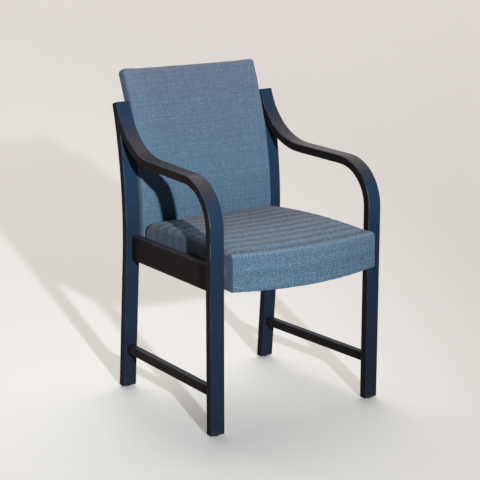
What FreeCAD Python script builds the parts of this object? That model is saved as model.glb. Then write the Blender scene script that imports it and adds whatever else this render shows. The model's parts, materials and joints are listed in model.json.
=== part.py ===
import FreeCAD, Part
import math
import os

from FreeCAD import Vector

# Upholstered armchair: a seat and a back hung between two bent-laminated side frames.
# Millimetres and degrees. X runs across the chair, Y from front to back, Z up from the floor.
# A side frame is drawn in its own plane: x = 0 is its outer face, y = 0 the front of the front leg.

# Stance
front_width = 524.0            # over the outer faces of the front legs
toe_in = 1.9                   # turn of each side frame towards the rear

# Bent laminations
leg_width = 40.0               # across the chair
leg_thickness = 22.0           # through the veneers
edge_round = 3.0
slit_round = 1.5               # bottom of the slit between arm and post
foot_chamfer = 1.5
glue_line = 0.15

# Arm and front leg
front_bend_radius = 122.0      # top face
arm_slope = 2.0                # rise of the arm towards the rear
sweep_radius = 180.0           # top face, up to the post
scarf_tip = 2.0                # arm thickness left at the top of the post

# Back leg and post
waist_setback = 411.0          # front of the front leg to the front of the post, where the post is upright
waist_height = 450.0
post_radius = 1165.0           # front face
leg_rake = 4.8                 # of the straight lower leg
post_top_lean = 15.85

# Seat rail and stretcher of a side frame
rail_inset = 17.0              # from the outer face of the legs
rail_drop = 9.0                # bottom of the rail below the bottom of the seat
rail_height = 65.0
rail_round = 2.5
stretcher_thickness = 20.0
stretcher_height = 23.0
stretcher_bottom = 97.5
stretcher_round = 2.5

# Dowels along Y
rail_dowel_diameter = 10.0
rail_dowel_rise = 12.0         # lower dowel above the bottom of the rail
rail_dowel_spacing = 17.0
stretcher_dowel_diameter = 10.0
dowel_depth_leg = 14.0
dowel_depth_rail = 22.0
dowel_end_gap = 0.8
dowel_clearance = 0.1
dowel_chamfer = 1.0

# Glides under the feet
glide_diameter = 17.0
glide_height = 3.0
glide_chamfer = 1.2
nail_diameter = 2.6
nail_length = 19.0
nail_clearance = 0.05

# Seat
seat_bottom = 366.0
seat_height = 91.0
seat_overhang = 29.0           # front corners ahead of the front legs
seat_bow = 31.0                # middle of the front edge ahead of its corners
seat_front_round = 10.0        # corners, seen from above
seat_rear_round = 22.0
seat_top_round = 14.0
seat_side_wrap = 4.0           # cover and padding over the frame
seat_front_foam = 12.0
seat_frame_thickness = 22.0
seat_frame_height = 56.0
seat_board_thickness = 6.0
vent_diameter = 22.0
vent_pitch = 90.0
vent_rows = 3
vent_columns = 4
dust_cover_thickness = 1.0
corner_block_leg = 44.0
corner_block_height = 24.0
frame_dowel_diameter = 8.0
frame_dowel_length = 40.0
frame_dowel_spacing = 26.0

# Seat bolts, across the chair
spacer_thickness = 3.0
spacer_diameter = 16.0
seat_bolt_rise = 42.0          # above the bottom of the seat frame
rear_bolt_inset = 62.0         # from the rear of the seat
bolt_diameter = 6.0
bolt_head_diameter = 10.0
bolt_head_height = 6.0
hex_socket_width = 5.0
hex_socket_depth = 3.0
bolt_clearance = 0.3
thread_clearance = 0.05
insert_diameter = 9.0
insert_length = 13.0
insert_clearance = 0.05

# Back pad, a slab bent to a circle about an axis behind the chair, upright where the post is
pad_proud = 19.0               # front of the pad ahead of the waist of the post
pad_radius = 940.0             # middle of the slab
pad_top_angle = 24.6
pad_bottom_angle = -3.1
pad_side_gap = 0.3
pad_corner_round = 20.0
pad_edge_round = 9.0
pad_foam = 14.0
pad_panel_thickness = 3.0
pad_frame_thickness = 18.0
pad_cover_thickness = 5.0
pad_wrap = 4.0
pad_top_wrap = 8.0
pad_stile_width = 30.0
pad_rail_width = 45.0          # along the slab
pad_bolt_angles = (5.0, 12.5)
soft_gap = 0.3                 # between the seat and the back pad

# Values worked out from the sizes above
leg_bottom = glide_height
rail_thickness = leg_width - rail_inset
rail_bottom = seat_bottom - rail_drop
rail_top = rail_bottom + rail_height
stretcher_inset = (leg_width - stretcher_thickness) / 2
seat_side = leg_width + spacer_thickness
seat_frame_side = seat_side + seat_side_wrap
seat_frame_inside = seat_frame_side + seat_frame_thickness
seat_frame_bottom = seat_bottom + dust_cover_thickness
seat_frame_top = seat_frame_bottom + seat_frame_height
seat_board_top = seat_frame_top + seat_board_thickness
seat_top = seat_bottom + seat_height
seat_bolt_height = seat_frame_bottom + seat_bolt_rise
pad_front_setback = waist_setback - pad_proud
seat_rear = pad_front_setback - soft_gap
seat_bolt_setbacks = (leg_thickness / 2, seat_rear - rear_bolt_inset)
pad_side = leg_width + pad_side_gap
pad_frame_side = pad_side + pad_wrap
pad_stile_inside = pad_frame_side + pad_stile_width
pad_thickness = pad_foam + pad_panel_thickness + pad_frame_thickness + pad_cover_thickness
pad_front_radius = pad_radius + pad_thickness / 2
pad_rear_radius = pad_radius - pad_thickness / 2
pad_panel_radius = pad_front_radius - pad_foam
pad_frame_radius = pad_panel_radius - pad_panel_thickness
pad_cover_radius = pad_frame_radius - pad_frame_thickness
reach = 2 * front_width        # longer than any piece, for cutting tools

X = Vector(1, 0, 0)
Y = Vector(0, 1, 0)
Z = Vector(0, 0, 1)


# Drawing in the side plane

def at(y, z):
    return Vector(0, y, z)


def polar(centre, radius, degrees):
    """Point of a circle in the side plane: 0 degrees points to the rear, 90 degrees up."""
    angle = math.radians(degrees)
    return centre + at(radius * math.cos(angle), radius * math.sin(angle))


def arc(centre, radius, start, end):
    middle = polar(centre, radius, (start + end) / 2)
    return Part.Arc(polar(centre, radius, start), middle, polar(centre, radius, end)).toShape()


def line(start, end):
    return Part.LineSegment(start, end).toShape()


def plate(edges, x, width):
    """Solid with a closed outline in the side plane, from x inwards."""
    face = Part.Face(Part.Wire(edges))
    face.translate(X * x)
    return face.extrude(X * width)


def solid(shape):
    """The one solid of a shape that is meant to be a single piece."""
    if len(shape.Solids) != 1:
        raise ValueError("expected one solid, found %d" % len(shape.Solids))
    return shape.Solids[0]


def round_edges(shape, radius, wanted):
    return shape.makeFillet(radius, [edge for edge in shape.Edges if wanted(edge)])


def upright(edge):
    return edge.BoundBox.XLength + edge.BoundBox.YLength < edge.BoundBox.ZLength / 2


# Placing a side frame's pieces

def on_left(shape):
    placed = shape.copy()
    placed.rotate(Vector(0, 0, 0), Z, -toe_in)
    placed.translate(-X * front_width / 2)
    return placed


def on_right(shape):
    return on_left(shape).mirror(Vector(0, 0, 0), X)


def both(shapes):
    """The same pieces on both sides, as one group of separate solids."""
    return Part.makeCompound([on_left(s) for s in shapes] + [on_right(s) for s in shapes])


def side_block(start, end):
    """Everything of a side frame's space between two distances from its outer face."""
    return Part.makeBox(end - start, 2 * reach, 2 * reach, Vector(start, -reach, -reach))


def between_sides(shape, inset):
    """Cut a piece that spans the chair to a distance inside both outer faces."""
    outside = side_block(-reach, inset)
    return shape.cut([on_left(outside), on_right(outside)])


# Bent laminations of a side frame

post_centre = at(waist_setback + post_radius, waist_height)
sweep_centre = polar(post_centre, post_radius + scarf_tip + sweep_radius, 180 - post_top_lean)
sweep_start = polar(sweep_centre, sweep_radius, 270 + arm_slope)
bend_centre = at(
    front_bend_radius,
    sweep_start.z
    + (front_bend_radius - sweep_start.y) * math.tan(math.radians(arm_slope))
    - front_bend_radius / math.cos(math.radians(arm_slope)),
)


def post_foot(radius):
    """Where a face of the straight lower leg meets the foot."""
    knee = polar(post_centre, radius, 180 + leg_rake)
    return at(knee.y + (knee.z - leg_bottom) * math.tan(math.radians(leg_rake)), leg_bottom)


def post_front(height):
    """Distance of the post's front face behind the front of the front leg, at a height."""
    knee = polar(post_centre, post_radius, 180 + leg_rake)
    if height < knee.z:
        return knee.y + (knee.z - height) * math.tan(math.radians(leg_rake))
    return post_centre.y - math.sqrt(post_radius ** 2 - (height - post_centre.z) ** 2)


def post_outline(front, rear, top):
    """Back leg and post between two radii: a raked straight leg that runs into one long bend."""
    low = 180 + leg_rake
    high = 180 - top
    return [
        line(post_foot(front), polar(post_centre, front, low)),
        arc(post_centre, front, low, high),
        line(polar(post_centre, front, high), polar(post_centre, rear, high)),
        arc(post_centre, rear, high, low),
        line(polar(post_centre, rear, low), post_foot(rear)),
        line(post_foot(rear), post_foot(front)),
    ]


def arm_outline():
    """Front leg, bend, arm and sweep, with the underside one thickness inside the top face."""
    under_bend = front_bend_radius - leg_thickness
    under_sweep = sweep_radius + leg_thickness
    bend_end = 90 + arm_slope
    sweep_end = 360 - post_top_lean
    return [
        line(at(0, leg_bottom), at(0, bend_centre.z)),
        arc(bend_centre, front_bend_radius, 180, bend_end),
        line(polar(bend_centre, front_bend_radius, bend_end), sweep_start),
        arc(sweep_centre, sweep_radius, 270 + arm_slope, sweep_end),
        line(polar(sweep_centre, sweep_radius, sweep_end), polar(sweep_centre, under_sweep, sweep_end)),
        arc(sweep_centre, under_sweep, sweep_end, 270 + arm_slope),
        line(polar(sweep_centre, under_sweep, 270 + arm_slope), polar(bend_centre, under_bend, bend_end)),
        arc(bend_centre, under_bend, bend_end, 180),
        line(at(leg_thickness, bend_centre.z), at(leg_thickness, leg_bottom)),
        line(at(leg_thickness, leg_bottom), at(0, leg_bottom)),
    ]


def behind_post_face(gap):
    """Tool that holds everything behind the post's front face, or a gap ahead of it."""
    above = 2 * post_top_lean
    return plate(post_outline(post_radius + gap, post_radius / 2, above), -leg_width, 3 * leg_width)


def glued_side():
    """Arm and post glued up as one blank, then rounded along every edge but the feet."""
    arm = plate(arm_outline(), 0, leg_width)
    post = plate(post_outline(post_radius, post_radius - leg_thickness, post_top_lean), 0, leg_width)
    blank = solid(arm.fuse(post).removeSplitter())

    def across(edge):
        return edge.BoundBox.XLength > leg_width / 2

    def in_slit(edge):
        middle = edge.CenterOfMass
        near_post = abs(middle.y - post_front(middle.z)) < 1
        return across(edge) and near_post and bend_centre.z < middle.z < sweep_centre.z - sweep_radius / 3

    def outline_or_top(edge):
        if across(edge):
            return edge.BoundBox.ZMin > sweep_centre.z - sweep_radius / 2 and not in_slit(edge)
        return edge.BoundBox.ZMax > leg_bottom + edge_round

    blank = round_edges(blank, slit_round, in_slit)
    blank = round_edges(blank, edge_round, outline_or_top)
    feet = [edge for edge in blank.Edges if edge.BoundBox.ZMax < leg_bottom + 0.01]
    return blank.makeChamfer(foot_chamfer, feet)


# Holes and round parts

def rod(start, direction, diameter, length):
    return Part.makeCylinder(diameter / 2, length, start, direction)


def rail_bar(x, thickness, bottom, height, rounding):
    """Bar from the rear face of the front leg to the front face of the back leg."""
    length = post_foot(post_radius).y
    box = Part.makeBox(thickness, length, height, Vector(x, leg_thickness + glue_line, bottom))
    box = round_edges(box, rounding, lambda edge: edge.BoundBox.YLength > length / 2)
    return solid(box.cut(behind_post_face(glue_line)))


def dowel_lines():
    """Centre height, distance in and diameter of each dowel of a side frame."""
    rail_middle = rail_inset + rail_thickness / 2
    lower = rail_bottom + rail_dowel_rise
    return [
        (rail_middle, lower, rail_dowel_diameter),
        (rail_middle, lower + rail_dowel_spacing, rail_dowel_diameter),
        (leg_width / 2, stretcher_bottom + stretcher_height / 2, stretcher_dowel_diameter),
    ]


def dowel_pair(x, z, diameter):
    """The front and the rear dowel of a bar, with the holes that take them."""
    length = dowel_depth_leg + dowel_depth_rail
    pins = []
    holes = []
    for start in (leg_thickness - dowel_depth_leg, post_front(z) - dowel_depth_rail):
        pin = rod(Vector(x, start + dowel_end_gap, z), Y, diameter, length - 2 * dowel_end_gap)
        ends = [edge for edge in pin.Edges if edge.BoundBox.YLength < 0.01]
        pins.append(pin.makeChamfer(dowel_chamfer, ends))
        holes.append(rod(Vector(x, start, z), Y, diameter + 2 * dowel_clearance, length))
    return pins, holes


def foot_centres():
    """Middle of the front foot and of the back foot."""
    back = (post_foot(post_radius).y + post_foot(post_radius - leg_thickness).y) / 2
    return [Vector(leg_width / 2, leg_thickness / 2, 0), Vector(leg_width / 2, back, 0)]


def glide(centre):
    disc = rod(centre, Z, glide_diameter, glide_height)
    rim = [edge for edge in disc.Edges if edge.BoundBox.ZMax < 0.01]
    return disc.makeChamfer(glide_chamfer, rim).cut(nail_hole(centre))


def nail(centre):
    return rod(centre + Z * glide_height / 2, Z, nail_diameter, nail_length)


def nail_hole(centre):
    return rod(centre + Z * glide_height / 2, Z, nail_diameter + 2 * nail_clearance, nail_length + nail_clearance)


def hexagon(start, direction, across_flats, depth):
    corner = across_flats / math.sqrt(3)
    points = [Vector(0, corner * math.cos(math.radians(a)), corner * math.sin(math.radians(a)))
              for a in range(0, 361, 60)]
    prism = Part.Face(Part.makePolygon(points)).extrude(direction * depth)
    prism.translate(start)
    return prism


def bolt_set(y, z, head_x):
    """Socket-head bolt from inside a frame out into a leg, its insert, and the holes they need."""
    head = Vector(head_x, y, z)
    insert_end = leg_width - insert_length
    shank = rod(head, -X, bolt_diameter, head_x - insert_end - 1)
    cap = rod(head, X, bolt_head_diameter, bolt_head_height)
    socket = hexagon(head + X * bolt_head_height, -X, hex_socket_width, hex_socket_depth)
    insert = rod(Vector(leg_width, y, z), -X, insert_diameter, insert_length)
    thread = rod(Vector(leg_width, y, z), -X, bolt_diameter + 2 * thread_clearance, insert_length)
    seat = rod(Vector(leg_width, y, z), -X, insert_diameter + 2 * insert_clearance, insert_length + 0.5)
    passage = rod(head, -X, bolt_diameter + 2 * bolt_clearance, head_x - leg_width)
    return {"bolt": shank.fuse(cap).cut(socket), "insert": insert.cut(thread), "seat": seat, "passage": passage}


# Seat

bow_half_width = front_width / 2 - seat_side
bow_radius = (bow_half_width ** 2 + seat_bow ** 2) / (2 * seat_bow)
bow_centre = bow_radius - seat_overhang - seat_bow


def seat_slab(side, front, rear, bottom, top):
    """Seat plan with a bowed front and rounded rear corners, drawn in from the cover by the given amounts."""
    half = front_width / 2
    radius = bow_radius - front
    corner_y = bow_centre - math.sqrt(radius ** 2 - half ** 2)
    front_arc = Part.Arc(Vector(-half, corner_y, bottom), Vector(0, bow_centre - radius, bottom),
                         Vector(half, corner_y, bottom)).toShape()
    back = seat_rear - rear
    outline = Part.Wire([
        front_arc,
        line(Vector(half, corner_y, bottom), Vector(half, back, bottom)),
        line(Vector(half, back, bottom), Vector(-half, back, bottom)),
        line(Vector(-half, back, bottom), Vector(-half, corner_y, bottom)),
    ])
    slab = solid(between_sides(Part.Face(outline).extrude(Z * (top - bottom)), side))
    rounding = seat_rear_round - (side - seat_side)
    if rounding <= 0:
        return slab
    return round_edges(slab, rounding, lambda edge: upright(edge) and edge.CenterOfMass.y > back / 2)


def frame_front(x):
    """Inside of the bowed front rail, at a distance across from the middle of the chair."""
    radius = bow_radius - seat_front_foam - seat_frame_thickness
    return bow_centre - math.sqrt(radius ** 2 - x ** 2)


def seat_pieces(passages):
    wrap = seat_side_wrap
    foam = seat_front_foam
    wall = seat_frame_thickness
    low = seat_frame_bottom
    high = seat_frame_top

    cushion = seat_slab(seat_side, 0, 0, seat_bottom, seat_top)
    cushion = round_edges(cushion, seat_front_round, lambda edge: upright(edge) and edge.CenterOfMass.y < 0)
    cushion = round_edges(cushion, seat_top_round, lambda edge: edge.BoundBox.ZMin > seat_top - 0.01)
    cushion = cushion.cut(seat_slab(seat_frame_side, foam, wrap, seat_bottom, seat_board_top))

    blank = seat_slab(seat_frame_side, foam, wrap, low, high)
    cavity = seat_slab(seat_frame_inside, foam + wall, wrap + wall, low, high)
    left = blank.common(on_left(side_block(seat_frame_side, seat_frame_inside)))
    right = blank.common(on_right(side_block(seat_frame_side, seat_frame_inside)))
    cross = between_sides(blank, seat_frame_inside + glue_line).cut(cavity)
    front, rear = sorted(cross.Solids, key=lambda rail: rail.CenterOfMass.y)

    board = seat_slab(seat_frame_side, foam, wrap, high, seat_board_top)
    vents = []
    for row in range(vent_rows):
        for column in range(vent_columns):
            x = (column - (vent_columns - 1) / 2) * vent_pitch
            y = seat_rear / 2 + (row - (vent_rows - 1) / 2) * vent_pitch
            vents.append(rod(Vector(x, y, high), Z, vent_diameter, seat_board_thickness))
    board = board.cut(vents)

    dust_cover = seat_slab(seat_frame_side, foam, wrap, seat_bottom, low)

    half = front_width / 2 - seat_frame_inside
    narrowing = math.tan(math.radians(toe_in))
    rear_inside = seat_rear - wrap - wall
    front_corner = Vector(half, frame_front(half), low)
    rear_corner = Vector(half - rear_inside * narrowing, rear_inside, low)
    blocks = []
    for corner in (front_corner, rear_corner):
        for side in (-1, 1):
            diamond = Part.makeBox(corner_block_leg * math.sqrt(2), corner_block_leg * math.sqrt(2),
                                   corner_block_height)
            diamond.translate(-(X + Y) * corner_block_leg / math.sqrt(2))
            diamond.rotate(Vector(0, 0, 0), Z, 45)
            diamond.translate(Vector(side * corner.x, corner.y, corner.z))
            blocks.append(solid(cavity.common(diamond)))

    pins = []
    holes = []
    middle = (low + high) / 2
    depth = frame_dowel_length / 2
    for y in (front_corner.y - wall / 2, rear_corner.y + wall / 2):
        for rise in (-frame_dowel_spacing / 2, frame_dowel_spacing / 2):
            start = Vector(seat_frame_inside - depth * 0.75, y, middle + rise)
            pins.append(rod(start + X * dowel_end_gap, X, frame_dowel_diameter, 2 * (depth - dowel_end_gap)))
            holes.append(rod(start, X, frame_dowel_diameter + 2 * dowel_clearance, 2 * depth))
    holes = both(holes)

    return {
        "seat_cushion": solid(cushion.cut(passages)),
        "seat_frame_left": solid(left.cut([holes, passages])),
        "seat_frame_right": solid(right.cut([holes, passages])),
        "seat_frame_front": solid(front.cut(holes)),
        "seat_frame_rear": solid(rear.cut(holes)),
        "seat_board": solid(board),
        "seat_dust_cover": dust_cover,
        "seat_corner_blocks": Part.makeCompound(blocks),
        "seat_frame_dowels": both(pins),
    }


# Back pad

pad_centre = at(pad_front_setback + pad_front_radius, waist_height)


def pad_angle(length):
    """Turn about the pad's axis for a length along the middle of the slab."""
    return math.degrees(length / pad_radius)


def pad_slab(front, rear, side, low, high):
    """Bent slab between two radii and two angles, trimmed to the side frames."""
    outline = [
        arc(pad_centre, front, 180 - low, 180 - high),
        line(polar(pad_centre, front, 180 - high), polar(pad_centre, rear, 180 - high)),
        arc(pad_centre, rear, 180 - high, 180 - low),
        line(polar(pad_centre, rear, 180 - low), polar(pad_centre, front, 180 - low)),
    ]
    return solid(between_sides(plate(outline, -front_width / 2, front_width), side))


def round_top_corners(slab, radius):
    """Round the two upper corners of a bent slab, as seen from the front."""
    top = max((face for face in slab.Faces if face.Surface.TypeId == "Part::GeomPlane"),
              key=lambda face: face.CenterOfMass.z)
    corners = [edge for edge in top.Edges if edge.BoundBox.XLength < pad_thickness / 2]
    return slab.makeFillet(radius, corners)


def pad_pieces(passages):
    low = pad_bottom_angle
    high = pad_top_angle
    inner_low = low + pad_angle(pad_wrap)
    inner_high = high - pad_angle(pad_top_wrap)
    inner_round = pad_corner_round - pad_wrap

    cushion = pad_slab(pad_front_radius, pad_cover_radius, pad_side, low, high)
    cushion = round_top_corners(cushion, pad_corner_round)
    front_face = max(cushion.Faces, key=lambda face: face.CenterOfMass.sub(pad_centre).Length)
    cushion = cushion.makeFillet(pad_edge_round, front_face.Edges)
    pocket = round_top_corners(
        pad_slab(pad_panel_radius, pad_cover_radius, pad_frame_side, inner_low, inner_high), inner_round)
    cushion = cushion.cut(pocket)

    cover = round_top_corners(pad_slab(pad_cover_radius, pad_rear_radius, pad_side, low, high), pad_corner_round)
    panel = round_top_corners(
        pad_slab(pad_panel_radius, pad_frame_radius, pad_frame_side, inner_low, inner_high), inner_round)
    blank = round_top_corners(
        pad_slab(pad_frame_radius, pad_cover_radius, pad_frame_side, inner_low, inner_high), inner_round)
    left = blank.common(on_left(side_block(pad_frame_side, pad_stile_inside)))
    right = blank.common(on_right(side_block(pad_frame_side, pad_stile_inside)))
    rail_turn = pad_angle(pad_rail_width)
    across = pad_stile_inside + glue_line
    top = pad_slab(pad_frame_radius, pad_cover_radius, across, inner_high - rail_turn, inner_high)
    bottom = pad_slab(pad_frame_radius, pad_cover_radius, across, inner_low, inner_low + rail_turn)

    return {
        "back_cushion": solid(cushion.cut(passages)),
        "back_rear_cover": cover,
        "back_panel": panel,
        "back_frame_left": solid(left.cut(passages)),
        "back_frame_right": solid(right.cut(passages)),
        "back_frame_top": top,
        "back_frame_bottom": bottom,
    }


# The whole chair

def chair():
    blank = glued_side()
    arm = solid(blank.cut(behind_post_face(glue_line)))
    post = solid(blank.common(behind_post_face(0)))
    rail = rail_bar(rail_inset, rail_thickness, rail_bottom, rail_height, rail_round)
    stretcher = rail_bar(stretcher_inset, stretcher_thickness, stretcher_bottom, stretcher_height, stretcher_round)

    rail_pins = []
    stretcher_pins = []
    drilled = []
    for x, z, diameter in dowel_lines():
        pins, holes = dowel_pair(x, z, diameter)
        (rail_pins if z > rail_bottom else stretcher_pins).extend(pins)
        drilled.extend(holes)

    seat_bolts = [bolt_set(y, seat_bolt_height, seat_frame_inside) for y in seat_bolt_setbacks]
    bolt_radius = (pad_frame_radius + pad_cover_radius) / 2
    pad_points = [polar(pad_centre, bolt_radius, 180 - angle) for angle in pad_bolt_angles]
    pad_bolts = [bolt_set(point.y, point.z, pad_stile_inside) for point in pad_points]
    spacers = []
    for y in seat_bolt_setbacks:
        start = Vector(leg_width, y, seat_bolt_height)
        disc = rod(start, X, spacer_diameter, spacer_thickness)
        spacers.append(disc.cut(rod(start, X, bolt_diameter + 2 * bolt_clearance, spacer_thickness)))

    feet = foot_centres()
    drilled.extend(nail_hole(foot) for foot in feet)
    drilled.extend(bolt["seat"] for bolt in seat_bolts + pad_bolts)
    side = {"arm_leg": arm, "back_leg": post, "seat_rail": rail, "stretcher": stretcher}

    pieces = {}
    for name, shape in side.items():
        bored = solid(shape.cut(drilled))
        pieces["left_" + name] = on_left(bored)
        pieces["right_" + name] = on_right(bored)
    for end, foot in zip(("front", "back"), feet):
        pieces["left_%s_glide" % end] = on_left(glide(foot))
        pieces["right_%s_glide" % end] = on_right(glide(foot))

    pieces.update(seat_pieces(both([bolt["passage"] for bolt in seat_bolts])))
    pieces.update(pad_pieces(both([bolt["passage"] for bolt in pad_bolts])))
    pieces["glide_nails"] = both([nail(foot) for foot in feet])
    pieces["rail_dowels"] = both(rail_pins)
    pieces["stretcher_dowels"] = both(stretcher_pins)
    pieces["seat_spacers"] = both(spacers)
    pieces["seat_bolts"] = both([bolt["bolt"] for bolt in seat_bolts])
    pieces["seat_inserts"] = both([bolt["insert"] for bolt in seat_bolts])
    pieces["back_bolts"] = both([bolt["bolt"] for bolt in pad_bolts])
    pieces["back_inserts"] = both([bolt["insert"] for bolt in pad_bolts])
    return pieces


def middle_of_depth():
    """Halfway between the bowed front of the seat and the rear of the back pad."""
    rear = polar(pad_centre, pad_rear_radius, 180 - pad_top_angle).y
    return (rear - seat_overhang - seat_bow) / 2


os.makedirs("parts", exist_ok=True)
for node, shape in chair().items():
    shape.translate(-Y * middle_of_depth())
    shape.exportStep("parts/%s.step" % node)
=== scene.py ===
import json
import math
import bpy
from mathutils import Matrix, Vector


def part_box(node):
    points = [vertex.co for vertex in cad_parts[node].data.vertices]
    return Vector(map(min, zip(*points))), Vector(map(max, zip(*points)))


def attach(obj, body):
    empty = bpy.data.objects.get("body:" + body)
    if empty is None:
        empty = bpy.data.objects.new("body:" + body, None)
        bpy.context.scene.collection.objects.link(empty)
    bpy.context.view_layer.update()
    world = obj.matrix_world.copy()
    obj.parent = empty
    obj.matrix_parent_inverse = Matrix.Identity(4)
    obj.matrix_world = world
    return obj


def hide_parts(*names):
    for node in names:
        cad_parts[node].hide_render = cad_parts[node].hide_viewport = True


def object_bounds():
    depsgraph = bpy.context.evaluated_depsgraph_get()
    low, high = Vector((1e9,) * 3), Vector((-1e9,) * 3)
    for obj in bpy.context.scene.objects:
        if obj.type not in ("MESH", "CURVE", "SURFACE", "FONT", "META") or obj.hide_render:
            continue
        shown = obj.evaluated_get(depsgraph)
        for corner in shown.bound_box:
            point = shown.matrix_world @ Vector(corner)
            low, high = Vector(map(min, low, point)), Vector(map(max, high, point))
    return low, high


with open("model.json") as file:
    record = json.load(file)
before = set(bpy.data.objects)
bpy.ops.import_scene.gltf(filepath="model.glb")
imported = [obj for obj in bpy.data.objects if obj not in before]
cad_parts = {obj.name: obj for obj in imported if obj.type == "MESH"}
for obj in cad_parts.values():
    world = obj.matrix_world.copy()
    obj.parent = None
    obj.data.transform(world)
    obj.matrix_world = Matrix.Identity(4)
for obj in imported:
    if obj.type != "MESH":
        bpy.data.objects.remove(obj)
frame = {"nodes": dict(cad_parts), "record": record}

from types import SimpleNamespace

import bpy
import numpy as np
from bpy.props import FloatProperty, FloatVectorProperty, IntProperty, PointerProperty
from mathutils import Vector
from mathutils.geometry import convex_hull_2d

bl_info = {
    "name": "Visitor chair upholstery and finish",
    "version": (1, 0, 0),
    "blender": (4, 5, 0),
    "location": "3D View > Sidebar > Chair",
    "description": "Upholsters, lacquers and stages a bentwood visitor chair on its packed solids",
    "category": "Object",
}

cad_low, cad_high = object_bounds()
seat_low, seat_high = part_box("seat_cushion")
back_low, back_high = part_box("back_cushion")

# Points round a cover before it fills, and round an outline that a cover is measured against.
cover_points = 240
outline_points = 1440
# Left clear between a cover and the wood beside it, and between a cover and the board under it.
side_gap = 0.0002
board_gap = 0.0004


def metres(name, description, default):
    """A setting that is a length."""
    return FloatProperty(name=name, description=description, default=default, unit="LENGTH")


def degrees(name, description, default):
    """A setting that is an angle, with its default in degrees."""
    return FloatProperty(
        name=name, description=description, default=math.radians(default), subtype="ANGLE")


def rgb(name, description, default):
    """A setting that is a colour."""
    return FloatVectorProperty(
        name=name, description=description, default=default, size=3, subtype="COLOR", min=0, max=1)


def xyz(name, description, default):
    """A setting that is a place."""
    return FloatVectorProperty(
        name=name, description=description, default=default, size=3, subtype="XYZ", unit="LENGTH")


def direction(name, description, default):
    """A setting that is the way from the chair towards a lamp."""
    return FloatVectorProperty(
        name=name, description=description, default=default, size=3, subtype="DIRECTION")


class ChairSeatSettings(bpy.types.PropertyGroup):
    """Sizes of the seat cushion and of the cloth under it."""

    toe_in: degrees("Toe-in", "Turn of each side frame towards the rear", 1.9)
    half_width: metres("Half width", "Half the seat's width behind its front corners", seat_high.x)
    bow: metres("Front bow", "How far the middle of the front stands before its corners", 0.031)
    front_round: metres("Front corners", "Size of the front corners, seen from above", 0.005)
    rear_round: metres("Rear corners", "Size of the rear corners, seen from above", 0.026)
    top_round: metres("Top edge", "Radius of the edge round the top at its sides and rear", 0.016)
    front_edge: metres("Front edge", "Radius of the edge along the top's front", 0.011)
    corner_ease: metres(
        "Rear corner ease", "How much more the top's edge is rounded at the rear corners", 0.010)
    low_round: metres("Bottom edge", "Radius of the edge round the underside", 0.0025)
    crown: metres("Crown", "How far the foam rises in the middle", 0.0065)
    front_sag: metres(
        "Front sag", "How far the foam hangs below the frame at the middle of the front", 0.005)
    slack: metres("Start slack", "How much smaller the cover starts before it is filled", 0.0015)
    swell: metres("Swell", "The most that the filling pushes the cover out", 0.004)
    held: metres("Held edge", "Height of the lower edge that is held while the cover fills", 0.008)
    side_pull: metres("Side pull", "How far past the solid the sides are drawn", 0.003)
    front_pull: metres("Front pull", "How far past the solid the front is drawn", 0.001)
    left_inset: metres("Left side", "How far inside the solid the left side is pressed", 0.0022)
    right_outset: metres("Right side", "The most that the right side stands out from the solid", 0.0014)
    front_outset: metres("Front limit", "The most that the front stands out from the solid", 0.0025)
    rise: metres("Top limit", "The most that the top stands above the solid", 0.010)
    tuck: metres("Tuck", "Height over which the cover is drawn tight round the lower edge", 0.010)
    hem: metres("Hem", "Width of cover folded under the seat's sides and rear", 0.0045)
    front_hem: metres("Front hem", "Width of cover folded under the seat's front", 0.0125)
    spacer: metres("Spacers", "Length of the steel spacers between the legs and the seat", 0.005)
    sag: metres("Dust cover sag", "How far the cloth under the seat hangs in the middle", 0.003)


class ChairBackSettings(bpy.types.PropertyGroup):
    """Sizes of the back cushion and its rear cover."""

    radius: metres("Front radius", "Radius of the cushion's front face, seen from the side", 0.960)
    level: metres("Upright height", "Height at which the cushion stands upright", 0.450)
    top_angle: degrees("Top angle", "Where the cushion ends above its upright height", 24.82)
    bottom_angle: degrees("Bottom angle", "Where the cushion starts below its upright height", -3.1)
    thickness: metres("Cushion thickness", "From the front face to the rear cover", 0.035)
    cover_thickness: metres("Rear cover thickness", "Thickness of the padded rear cover", 0.005)
    half_width: metres("Half width", "Half the cushion's width at its widest", back_high.x)
    top_round: metres("Top corners", "Size of the top corners, seen from the front", 0.010)
    bottom_round: metres("Bottom corners", "Size of the bottom corners, seen from the front", 0.007)
    edge_round: metres("Front edge", "Radius of the edge round the front face", 0.010)
    top_ease: metres("Top edge ease", "How much more the edge is rounded along the top", 0.010)
    rear_edge: metres("Rear edge", "Radius of the edge round the rear", 0.0015)
    crown: metres("Crown", "The most that the front stands out from the solid", 0.003)
    free_top: metres("Free top", "How far the sides swell above the posts", 0.0025)
    slack: metres("Start slack", "How much smaller the cover starts before it is filled", 0.002)
    swell: metres("Swell", "The most that the filling pushes the cover out", 0.0045)
    held: metres("Held edge", "Depth of the rear edge that is held while the cover fills", 0.008)
    hem: metres("Hem", "Width of cover folded behind the cushion's frame", 0.0055)


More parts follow.
